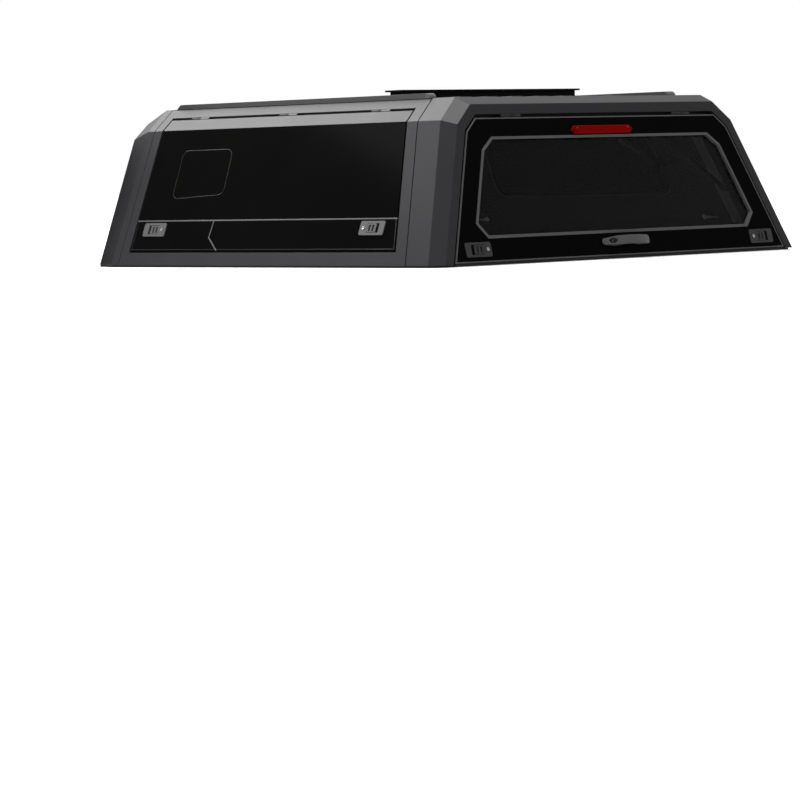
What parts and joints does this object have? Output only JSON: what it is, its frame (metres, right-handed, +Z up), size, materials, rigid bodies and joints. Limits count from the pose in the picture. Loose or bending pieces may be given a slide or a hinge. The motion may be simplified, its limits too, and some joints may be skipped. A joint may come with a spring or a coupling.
{
  "type": "pickup truck canopy",
  "caption": "Hard canopy for a pickup bed: raked steel shell with lift-up rear and side doors on gas struts, tinted windows and roof rails.",
  "frame": {"origin": "middle of the footprint, on the underside of the base gasket", "axes": "+Z up, +Y towards the cab, +X to the passenger's right; the tailgate end is at -Y"},
  "size_m": [1.6752, 1.7535, 0.563],
  "materials": {
    "canopy_steel": "charcoal satin powder coat, fine texture",
    "dark_panel": "deep gloss black",
    "tinted_glass": "privacy tint",
    "rubber": "matte black",
    "trim_grey": "satin grey",
    "rail_black": "black anodised",
    "lamp_red": "red lens",
    "latch_grey": "satin grey moulding",
    "latch_black": "satin black moulding",
    "hinge_steel": "black coated steel",
    "strut_black": "black gloss tube",
    "rod_steel": "polished rod"
  },
  "bodies": {
    "root": {"base_gasket": "rubber", "cross_bar": "rail_black", "frame_hinges": "hinge_steel", "front_frame": "canopy_steel", "front_panel": "canopy_steel", "front_window_gasket": "rubber", "front_window_glass": "tinted_glass", "left_roof_rail": "rail_black", "left_side_frame": "canopy_steel", "rear_door_seal": "rubber", "rear_frame": "canopy_steel", "right_roof_rail": "rail_black", "right_side_frame": "canopy_steel", "roof_bows": "canopy_steel", "roof_panel": "canopy_steel", "strut_brackets": "hinge_steel"},
    "rear_door": {"rear_door_panel": "dark_panel", "rear_door_trim": "trim_grey", "rear_window_gasket": "trim_grey", "rear_window_glass": "tinted_glass", "brake_light": "lamp_red", "rear_latch_plates": "latch_black", "rear_handle_base": "latch_black", "rear_door_hinges": "hinge_steel", "rear_door_wiper": "rubber", "rear_door_brackets": "hinge_steel"},
    "rear_handle": {"rear_handle_grip": "latch_black"},
    "rear_left_paddle": {"left_rear_paddle": "latch_black"},
    "rear_right_paddle": {"right_rear_paddle": "latch_black"},
    "rear_cylinders": {"rear_strut_cylinders": "strut_black"},
    "rear_rods": {"rear_strut_rods": "rod_steel"},
    "right_door": {"right_door_shell": "canopy_steel", "right_door_panel": "dark_panel", "right_door_strip": "dark_panel", "right_door_trim": "trim_grey", "right_latch_plates": "latch_grey", "right_door_seal": "rubber", "right_door_hinges": "hinge_steel", "right_door_brackets": "hinge_steel"},
    "right_front_paddle": {"right_front_paddle": "latch_grey"},
    "right_back_paddle": {"right_back_paddle": "latch_grey"},
    "right_cylinders": {"right_strut_cylinders": "strut_black"},
    "right_rods": {"right_strut_rods": "rod_steel"},
    "left_door": {"left_door_shell": "canopy_steel", "left_door_panel": "dark_panel", "left_door_strip": "dark_panel", "left_door_trim": "trim_grey", "left_latch_plates": "latch_grey", "left_door_seal": "rubber", "left_door_hinges": "hinge_steel", "left_door_brackets": "hinge_steel"},
    "left_front_paddle": {"left_front_paddle": "latch_grey"},
    "left_back_paddle": {"left_back_paddle": "latch_grey"},
    "left_cylinders": {"left_strut_cylinders": "strut_black"},
    "left_rods": {"left_strut_rods": "rod_steel"}
  },
  "joints": [
    {"name": "rear_door_hinge", "type": "hinge", "parent": "root", "child": "rear_door", "pos_m": [0, -0.73301, 0.4656], "axis": [-1, 0, 0], "range_deg": [0, 74]},
    {"name": "rear_right_paddle_lift", "type": "hinge", "parent": "rear_door", "child": "rear_right_paddle", "pos_m": [0.641, -0.8454, 0.0505], "axis": [0, -0.2478, -0.9688], "range_deg": [0, 35], "stiffness_Nm_per_rad": 0.05, "springref_deg": -11.46},
    {"name": "rear_left_paddle_lift", "type": "hinge", "parent": "rear_door", "child": "rear_left_paddle", "pos_m": [-0.641, -0.8454, 0.0505], "axis": [0, 0.2478, 0.9688], "range_deg": [0, 35], "stiffness_Nm_per_rad": 0.05, "springref_deg": -11.46},
    {"name": "rear_handle_pull", "type": "hinge", "parent": "rear_door", "child": "rear_handle", "pos_m": [0.089, -0.85187, 0.05748], "axis": [0, 0.2478, 0.9688], "range_deg": [0, 15], "stiffness_Nm_per_rad": 1, "springref_deg": -11.46},
    {"name": "rear_cylinder_turn", "type": "hinge", "parent": "root", "child": "rear_cylinders", "pos_m": [0, -0.48771, 0.39757], "axis": [-1, 0, 0], "range_deg": [0, 37]},
    {"name": "rear_rod_turn", "type": "hinge", "parent": "rear_door", "child": "rear_rods", "pos_m": [0, -0.76059, 0.21254], "axis": [-1, 0, 0], "range_deg": [-37, 0]},
    {"name": "right_door_hinge", "type": "hinge", "parent": "root", "child": "right_door", "pos_m": [0.6099, 0, 0.49096], "axis": [0, -1, 0], "range_deg": [0, 72]},
    {"name": "right_cylinder_turn", "type": "hinge", "parent": "root", "child": "right_cylinders", "pos_m": [0.43179, 0, 0.39626], "axis": [0, -1, 0], "range_deg": [0, 36]},
    {"name": "right_rod_turn", "type": "hinge", "parent": "right_door", "child": "right_rods", "pos_m": [0.67193, 0, 0.29902], "axis": [0, -1, 0], "range_deg": [-36, 0]},
    {"name": "right_front_paddle_lift", "type": "hinge", "parent": "right_door", "child": "right_front_paddle", "pos_m": [0.79266, 0.54775, 0.12374], "axis": [0.3714, 0, -0.9285], "range_deg": [0, 35], "stiffness_Nm_per_rad": 0.05, "springref_deg": -11.46},
    {"name": "right_back_paddle_lift", "type": "hinge", "parent": "right_door", "child": "right_back_paddle", "pos_m": [0.79266, -0.48378, 0.12374], "axis": [-0.3714, 0, 0.9285], "range_deg": [0, 35], "stiffness_Nm_per_rad": 0.05, "springref_deg": -11.46},
    {"name": "left_door_hinge", "type": "hinge", "parent": "root", "child": "left_door", "pos_m": [-0.6099, 0, 0.49096], "axis": [0, 1, 0], "range_deg": [0, 72]},
    {"name": "left_cylinder_turn", "type": "hinge", "parent": "root", "child": "left_cylinders", "pos_m": [-0.43179, 0, 0.39626], "axis": [0, 1, 0], "range_deg": [0, 36]},
    {"name": "left_rod_turn", "type": "hinge", "parent": "left_door", "child": "left_rods", "pos_m": [-0.67193, 0, 0.29902], "axis": [0, 1, 0], "range_deg": [-36, 0]},
    {"name": "left_front_paddle_lift", "type": "hinge", "parent": "left_door", "child": "left_front_paddle", "pos_m": [-0.79266, 0.54775, 0.12374], "axis": [0.3714, 0, 0.9285], "range_deg": [0, 35], "stiffness_Nm_per_rad": 0.05, "springref_deg": -11.46},
    {"name": "left_back_paddle_lift", "type": "hinge", "parent": "left_door", "child": "left_back_paddle", "pos_m": [-0.79266, -0.48378, 0.12374], "axis": [-0.3714, 0, -0.9285], "range_deg": [0, 35], "stiffness_Nm_per_rad": 0.05, "springref_deg": -11.46}
  ],
  "couplings": [
    {"joint": "rear_cylinder_turn", "follows": "rear_door_hinge", "ratio": 0.5},
    {"joint": "rear_rod_turn", "follows": "rear_door_hinge", "ratio": -0.5},
    {"joint": "right_cylinder_turn", "follows": "right_door_hinge", "ratio": 0.5},
    {"joint": "right_rod_turn", "follows": "right_door_hinge", "ratio": -0.5},
    {"joint": "left_cylinder_turn", "follows": "left_door_hinge", "ratio": 0.5},
    {"joint": "left_rod_turn", "follows": "left_door_hinge", "ratio": -0.5}
  ]
}
